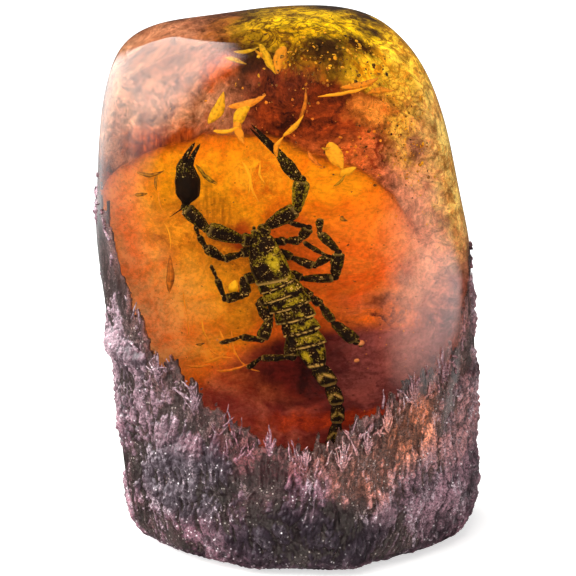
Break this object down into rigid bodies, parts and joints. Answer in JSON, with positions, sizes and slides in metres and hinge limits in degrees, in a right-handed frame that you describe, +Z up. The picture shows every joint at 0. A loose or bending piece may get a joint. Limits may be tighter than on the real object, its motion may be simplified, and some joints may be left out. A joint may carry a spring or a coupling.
{
  "type": "scorpion in resin block",
  "caption": "Standing ornament: a polished amber-coloured resin block with a rough rind at its foot and edges and a dried scorpion sealed inside.",
  "frame": {"origin": "middle of the flat foot, below the middle of the bounding box", "axes": "+Z up to the crown; the polished face with the scorpion looks along -Y; +X is to the right of a viewer who looks at that face"},
  "size_m": [0.0567, 0.0383, 0.0815],
  "materials": {
    "amber_resin": "clear amber-dyed cast resin, ground and polished to a gloss",
    "rough_rind": "unpolished casting rind: dark plum-brown flutes with pale, frosty crests",
    "scorpion_cuticle": "dried cuticle, near black with olive-yellow mottling and a waxy sheen",
    "plant_scraps": "dry petals, stems and bark crumbs sealed in the resin",
    "dyed_pour": "cloudy, streaked dyed resin poured behind the scorpion"
  },
  "bodies": {
    "root": {"resin_block": "amber_resin"}
  },
  "joints": []
}
